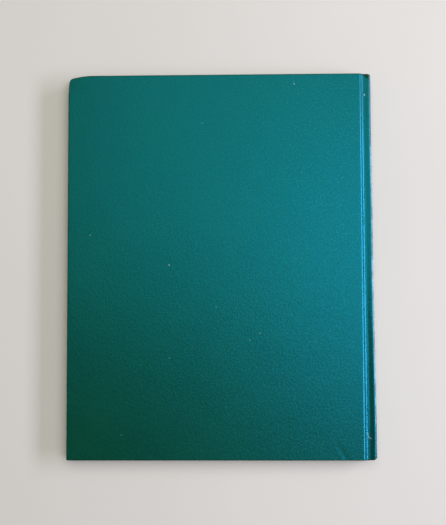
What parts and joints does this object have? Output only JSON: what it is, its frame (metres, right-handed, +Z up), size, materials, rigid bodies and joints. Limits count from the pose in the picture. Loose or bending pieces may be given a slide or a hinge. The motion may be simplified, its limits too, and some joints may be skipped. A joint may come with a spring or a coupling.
{
  "type": "hardback book",
  "caption": "Plain dark green cloth hardback book lying flat, with pressed joints, a slightly rounded spine, a text block and two covers that open.",
  "frame": {"origin": "middle of the book's outline, on the surface that the front cover lies on", "axes": "+X from the fore edge to the spine, +Y from tail to head, +Z up through the thickness"},
  "size_m": [0.216, 0.273, 0.014],
  "materials": {
    "green_cloth": "dark green book cloth with a low sheen, plain",
    "greyboard": "plain grey-brown board, covered all round",
    "spine_card": "plain card, covered",
    "endpaper": "uncoated off-white endpaper",
    "book_leaves": "cut edges of uncoated, slightly aged leaves",
    "lining_paper": "brown lining paper",
    "gauze": "open starched cotton gauze",
    "band_thread": "woven head band, green and cream"
  },
  "bodies": {
    "text_block": {"text_block": "book_leaves", "back_flyleaf": "endpaper", "front_flyleaf": "endpaper", "spine_mull": "gauze", "spine_lining": "lining_paper", "spine_strip": "spine_card", "spine_cloth": "green_cloth", "back_joint_cloth": "green_cloth", "front_joint_cloth": "green_cloth", "head_band": "band_thread", "tail_band": "band_thread"},
    "back_cover": {"back_board": "greyboard", "back_cover_cloth": "green_cloth", "back_pastedown": "endpaper", "back_mull_flange": "gauze"},
    "front_cover": {"front_board": "greyboard", "front_cover_cloth": "green_cloth", "front_pastedown": "endpaper", "front_mull_flange": "gauze"}
  },
  "joints": [
    {"name": "back_cover_hinge", "type": "hinge", "parent": "text_block", "child": "back_cover", "pos_m": [0.10485, 0, 0.01105], "axis": [0, 1, 0], "range_deg": [0, 178], "deforming": ["back_joint_cloth", "back_flyleaf", "back_mull_flange"]},
    {"name": "front_cover_hinge", "type": "hinge", "parent": "text_block", "child": "front_cover", "pos_m": [0.10485, 0, 0.00295], "axis": [0, -1, 0], "range_deg": [0, 178], "deforming": ["front_joint_cloth", "front_flyleaf", "front_mull_flange"]}
  ]
}
